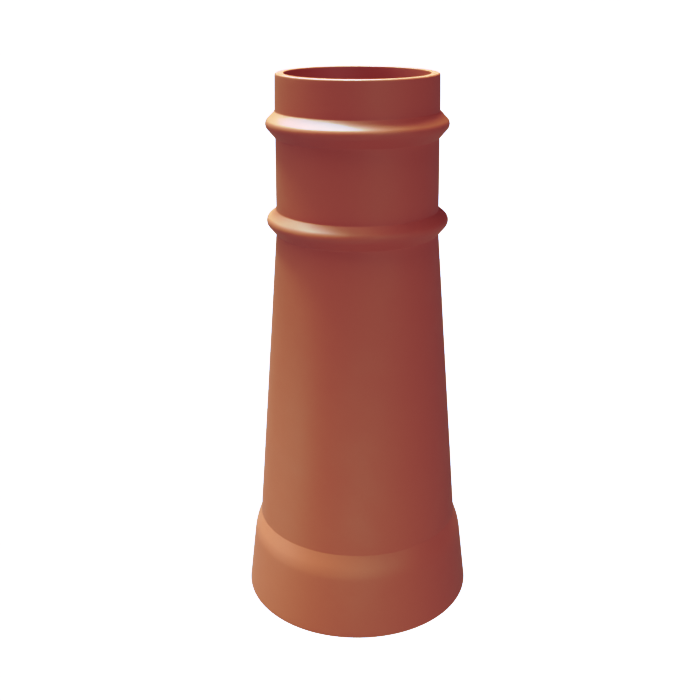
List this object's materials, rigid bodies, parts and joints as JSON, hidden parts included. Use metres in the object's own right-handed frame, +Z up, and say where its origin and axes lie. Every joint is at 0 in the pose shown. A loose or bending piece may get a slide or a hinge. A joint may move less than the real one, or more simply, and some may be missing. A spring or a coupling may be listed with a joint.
{
  "type": "chimney pot",
  "caption": "Tall round terracotta chimney pot with a plain rim, raised beads round its neck, a widening body and a heavier foot, open right through for the flue.",
  "frame": {"origin": "on the pot's axis, level with the underside of the foot", "axes": "+Z up along the pot's axis, from the foot to the rim; the pot is the same all round, so X and Y are free"},
  "size_m": [0.3304, 0.3304, 0.75],
  "materials": {
    "terracotta": "smooth unglazed fired red clay with a faint satin sheen"
  },
  "bodies": {
    "root": {"chimney_pot": "terracotta"}
  },
  "joints": []
}
